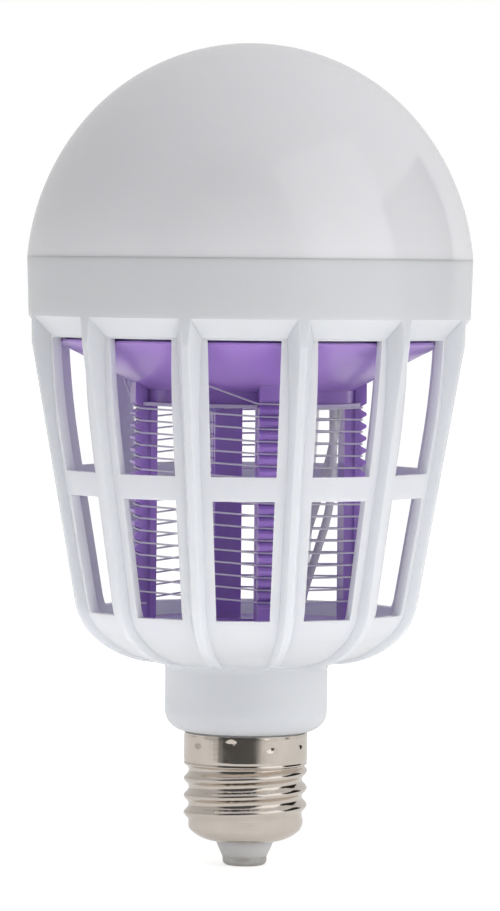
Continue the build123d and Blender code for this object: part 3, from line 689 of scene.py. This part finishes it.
def paper_laminate():
    material, tree, shader, place = start_material("phenolic_paper_pressed", Roughness=0.45, IOR=1.55)
    fibres = add_node(
        tree,
        "ShaderNodeTexNoise",
        {"Vector": place, "Scale": per_metre(1.5), "Detail": 5.0},
    )
    tracks = add_node(
        tree,
        "ShaderNodeTexBrick",
        {
            "Vector": place,
            "Scale": per_metre(UNIT_MM),
            "Mortar Size": TRACK_WIDTH_MM / 2 / UNIT_MM,
            "Color1": linear("8E7A3C"),
            "Color2": linear("84713A"),
            "Mortar": linear("B98A45"),
        },
    )
    base = add_node(
        tree,
        "ShaderNodeMix",
        {0: fibres.outputs[0], 6: tracks.outputs[0], 7: linear("7B6A34")},
        data_type="RGBA",
    )
    tree.links.new(base.outputs[2], shader.inputs["Base Color"])
    return material


dress(paper_laminate(), "driver_board")

# %% [markdown]
# ## Light sources
# A white surface-mount source is a white plastic cup filled with silicone that
# holds yellow phosphor. The violet ones under the lure board have clear
# silicone. A cell pattern stands for the grains of phosphor in the silicone.

# %% Silicone with phosphor, cast
def cast_silicone(name, dark, light):
    material, tree, shader, place = start_material(name, Roughness=0.25, IOR=1.43)
    grains = add_node(tree, "ShaderNodeTexVoronoi", {"Vector": place, "Scale": per_metre(0.4)})
    colour = add_node(
        tree,
        "ShaderNodeMix",
        {0: grains.outputs[0], 6: linear(dark), 7: linear(light)},
        data_type="RGBA",
    )
    tree.links.new(colour.outputs[2], shader.inputs["Base Color"])
    return material


dress(cast_silicone("silicone_with_phosphor_cast", "E3C24E", "F2DC82"), "white_leds")
dress(cast_silicone("clear_silicone_cast", "8C7FC4", "B7ADE0"), "lure_leds")

# %% [markdown]
# ## Driver components
# Each component has the coat that its kind has: a film capacitor is dipped in
# brick-red epoxy, disc capacitors in blue, the electrolytic can wears a black
# shrunk sleeve, the rectifier is moulded black epoxy, the fuse resistor has a
# grey-green cement coat, and the connector is off-white nylon. They differ in
# colour, grain and gloss, so one function takes those.

# %% Coats of the driver's components
GLOSS_SPREAD = 0.06


def component_coat(name, dark, light, grain_mm, roughness, bumpiness):
    material, tree, shader, place = start_material(name, IOR=1.52)
    grain = add_node(
        tree,
        "ShaderNodeTexNoise",
        {"Vector": place, "Scale": per_metre(grain_mm), "Detail": 3.0},
    )
    gloss = add_node(
        tree,
        "ShaderNodeMapRange",
        {
            "Value": grain.outputs[0],
            "To Min": roughness - GLOSS_SPREAD,
            "To Max": roughness + GLOSS_SPREAD,
        },
    )
    bump = add_node(
        tree,
        "ShaderNodeBump",
        {"Height": grain.outputs[0], "Strength": bumpiness, "Distance": 0.08 * MM},
    )
    colour = add_node(
        tree,
        "ShaderNodeMix",
        {0: grain.outputs[0], 6: linear(dark), 7: linear(light)},
        data_type="RGBA",
    )
    tree.links.new(colour.outputs[2], shader.inputs["Base Color"])
    tree.links.new(gloss.outputs[0], shader.inputs["Roughness"])
    tree.links.new(bump.outputs[0], shader.inputs["Normal"])
    return material


dress(component_coat("red_epoxy_dipped", "6E2216", "842C1C", 2.0, 0.2, 0.3), "film_capacitor")
dress(component_coat("blue_epoxy_dipped", "1D3A7C", "274A96", 1.4, 0.25, 0.4), "multiplier_capacitors")
dress(component_coat("black_sleeve_shrunk", "1A1A1E", "26262B", 1.2, 0.28, 0.2), "smoothing_capacitor")
dress(component_coat("black_epoxy_moulded", "141414", "202020", 0.4, 0.5, 0.3), "bridge_rectifier")
dress(component_coat("cement_coated", "66766C", "7C8C82", 0.5, 0.6, 0.5), "fuse_resistor")
dress(component_coat("nylon_moulded", "D8D4C6", "E4E0D4", 0.9, 0.4, 0.2), "board_connector")

# %% [markdown]
# ## Screws
# The self-tapping screws are steel with bright zinc, which has a faint blue
# passivated bloom and a grain of its own crystals.

# %% Zinc plate on steel, passivated
def zinc_plate():
    material, tree, shader, place = start_material("zinc_plate_passivated", Metallic=1.0)
    crystals = add_node(tree, "ShaderNodeTexVoronoi", {"Vector": place, "Scale": per_metre(0.5)})
    gloss = add_node(
        tree,
        "ShaderNodeMapRange",
        {"Value": crystals.outputs[0], "To Min": 0.25, "To Max": 0.42},
    )
    colour = add_node(
        tree,
        "ShaderNodeMix",
        {0: crystals.outputs[0], 6: linear("B9BDC6"), 7: linear("C9C9C4")},
        data_type="RGBA",
    )
    tree.links.new(colour.outputs[2], shader.inputs["Base Color"])
    tree.links.new(gloss.outputs[0], shader.inputs["Roughness"])
    return material


dress(zinc_plate(), "base_disc_screws", "lure_board_screws", "light_board_screws")

# %% [markdown]
# ## White studio
# The photograph has a pure white background. The world is white to the camera,
# and through clear surfaces, at a strength of 1. The light on the lamp comes
# from a softer world that is darker on the camera's side, where the room is, a
# little dimmer on the left and overhead, and from a few large lamps.

# %% World
ROOM_AXIS = (-0.19, -0.95, 0.25)
ROOM_SHADE = 0.14
ROOM_EDGE = 0.86
TENT_EDGE = 0.6
LEFT_SIDE = 0.58
RIGHT_SIDE = 0.83
TOP_SHARE = 0.82


def studio_world():
    world = bpy.data.worlds.new("studio")
    world.use_nodes = True
    tree = world.node_tree
    tree.nodes.clear()
    direction = add_node(tree, "ShaderNodeTexCoord").outputs["Generated"]
    parts = add_node(tree, "ShaderNodeSeparateXYZ", {0: direction})
    toward_room = add_node(
        tree,
        "ShaderNodeVectorMath",
        {0: direction, 1: ROOM_AXIS},
        operation="DOT_PRODUCT",
    )
    depth = add_node(
        tree,
        "ShaderNodeMapRange",
        {
            "Value": toward_room.outputs["Value"],
            "From Min": TENT_EDGE,
            "From Max": ROOM_EDGE,
            "To Min": 1.0,
            "To Max": ROOM_SHADE,
        },
        interpolation_type="SMOOTHSTEP",
    )
    sideways = add_node(
        tree,
        "ShaderNodeMapRange",
        {
            "Value": parts.outputs[0],
            "From Min": -1.0,
            "From Max": 1.0,
            "To Min": LEFT_SIDE,
            "To Max": RIGHT_SIDE,
        },
    )
    upwards = add_node(
        tree,
        "ShaderNodeMapRange",
        {"Value": parts.outputs[2], "To Min": 1.0, "To Max": TOP_SHARE},
    )
    tent = add_node(
        tree,
        "ShaderNodeMath",
        {0: sideways.outputs[0], 1: upwards.outputs[0]},
        operation="MULTIPLY",
    )
    room = add_node(
        tree,
        "ShaderNodeMath",
        {0: depth.outputs[0], 1: tent.outputs[0]},
        operation="MULTIPLY",
    )
    path = add_node(tree, "ShaderNodeLightPath")
    shown = add_node(
        tree,
        "ShaderNodeMath",
        {0: path.outputs["Is Camera Ray"], 1: path.outputs["Is Transmission Ray"]},
        operation="MAXIMUM",
    )
    strength = add_node(
        tree,
        "ShaderNodeMix",
        {0: shown.outputs[0], 2: room.outputs[0], 3: 1.0},
        data_type="FLOAT",
    )
    background = add_node(
        tree,
        "ShaderNodeBackground",
        {"Color": linear("FFFFFF"), "Strength": strength.outputs[0]},
    )
    add_node(tree, "ShaderNodeOutputWorld", {"Surface": background.outputs[0]})
    bpy.context.scene.world = world


studio_world()

# %% [markdown]
# The floor is a table top of white card that ends a little in front of the lamp,
# so the cap mirrors the dark room beyond its edge. To the camera it glows a
# little, so that it meets the white background with no seam, and it still takes
# the lamp's soft shadow. Mirrors see less of that glow, as bare card would show.

# %% Floor
TABLE_FRONT = -0.13
TABLE_BACK = 6.0
TABLE_HALF_WIDTH = 4.0
FLOOR_GLOW = 0.6
MIRRORED_GLOW = 0.4


def studio_floor():
    mesh = bmesh.new()
    left, right = -TABLE_HALF_WIDTH, TABLE_HALF_WIDTH
    corners = [(left, TABLE_FRONT), (right, TABLE_FRONT), (right, TABLE_BACK), (left, TABLE_BACK)]
    mesh.faces.new([mesh.verts.new((x, y, 0)) for x, y in corners])
    data = bpy.data.meshes.new("floor")
    mesh.to_mesh(data)
    mesh.free()
    floor = bpy.data.objects.new("floor", data)
    bpy.context.scene.collection.objects.link(floor)
    material = bpy.data.materials.new("white_card")
    material.use_nodes = True
    tree = material.node_tree
    tree.nodes.clear()
    card = add_node(tree, "ShaderNodeBsdfDiffuse", {"Color": linear("EFEFEF")})
    glow = add_node(tree, "ShaderNodeEmission", {"Color": linear("FFFFFF"), "Strength": FLOOR_GLOW})
    path = add_node(tree, "ShaderNodeLightPath")
    seen = add_node(
        tree,
        "ShaderNodeMath",
        {0: path.outputs["Is Glossy Ray"], 1: MIRRORED_GLOW, 2: path.outputs["Is Camera Ray"]},
        operation="MULTIPLY_ADD",
    )
    dark = add_node(tree, "ShaderNodeEmission", {"Color": linear("000000")})
    shown = add_node(
        tree,
        "ShaderNodeMixShader",
        {0: seen.outputs[0], 1: dark.outputs[0], 2: glow.outputs[0]},
    )
    both = add_node(tree, "ShaderNodeAddShader", {0: card.outputs[0], 1: shown.outputs[0]})
    add_node(tree, "ShaderNodeOutputMaterial", {"Surface": both.outputs[0]})
    data.materials.append(material)


studio_floor()

# %% [markdown]
# A large soft box leans over the lamp from the right, and its reflection is the
# pale pane on the dome. A second one hangs in front and lifts the faces that
# look at the camera. Three light panels lie on the table, left, right and in
# front, just outside the picture, and light the faces that look down: the
# chamfers above the windows, the bowl and the foot of the cap. Only the first
# soft box shows in mirrors. Places and sizes are in metres.

# %% Lamps
PANEL_HEIGHT = 3 * MM


def soft_box(name, place, target, size, watts):
    light = bpy.data.lights.new(name, "AREA")
    light.shape = "RECTANGLE"
    light.size, light.size_y = size
    light.energy = watts
    lamp = bpy.data.objects.new(name, light)
    bpy.context.scene.collection.objects.link(lamp)
    turn = (Vector(target) - Vector(place)).to_track_quat("-Z", "Y").to_matrix().to_4x4()
    lamp.matrix_world = Matrix.Translation(place) @ turn
    print(name, "watts:", watts)
    return lamp


def table_panel(name, x, y, size, watts):
    """Soft box that lies on the table at x, y and shines straight up."""
    return soft_box(name, (x, y, PANEL_HEIGHT), (x, y, 1), size, watts)


soft_box("window_box", (0.573, -0.434, 0.547), (0, 0, 0.127), (0.78, 0.87), 1.2)
unmirrored_lamps = [
    soft_box("front_box", (-0.18, -1.0, 0.8), (0, 0, 0.1), (1.2, 1.2), 3.0),
    table_panel("right_panel", 0.095, 0.01, (0.06, 0.2), 0.065),
    table_panel("left_panel", -0.095, 0.01, (0.06, 0.2), 0.09),
    table_panel("front_panel", 0, -0.11, (0.18, 0.035), 0.1),
]
for lamp in unmirrored_lamps:
    lamp.visible_glossy = False

# %% [markdown]
# A black card stands to the right, outside the picture. It takes no part in the
# lighting; the thread mirrors it as the dark patches on the right of each turn.

# %% Black card
CARD_DISTANCE = 0.6
CARD_AZIMUTH = radians(104)
CARD_ELEVATION = radians(24)
CARD_WIDTH = 0.5
CARD_HEIGHT = 0.36


def black_card():
    level = CARD_DISTANCE * cos(CARD_ELEVATION)
    middle = Vector((
        level * sin(CARD_AZIMUTH),
        -level * cos(CARD_AZIMUTH),
        CARD_DISTANCE * sin(CARD_ELEVATION),
    ))
    turn = (-middle).to_track_quat("-Z", "Y").to_matrix().to_4x4()
    mesh = bmesh.new()
    half_width, half_height = CARD_WIDTH / 2, CARD_HEIGHT / 2
    corners = [
        (-half_width, -half_height),
        (half_width, -half_height),
        (half_width, half_height),
        (-half_width, half_height),
    ]
    mesh.faces.new([mesh.verts.new((x, y, 0)) for x, y in corners])
    data = bpy.data.meshes.new("black_card")
    mesh.to_mesh(data)
    mesh.free()
    card = bpy.data.objects.new("black_card", data)
    bpy.context.scene.collection.objects.link(card)
    card.matrix_world = Matrix.Translation(middle) @ turn
    material = bpy.data.materials.new("black_card")
    material.use_nodes = True
    tree = material.node_tree
    tree.nodes.clear()
    black = add_node(tree, "ShaderNodeBsdfDiffuse", {"Color": linear("2E2C2A")})
    add_node(tree, "ShaderNodeOutputMaterial", {"Surface": black.outputs[0]})
    data.materials.append(material)
    card.visible_camera = False
    card.visible_diffuse = False
    card.visible_shadow = False


black_card()

bpy.context.scene.view_settings.view_transform = "Standard"
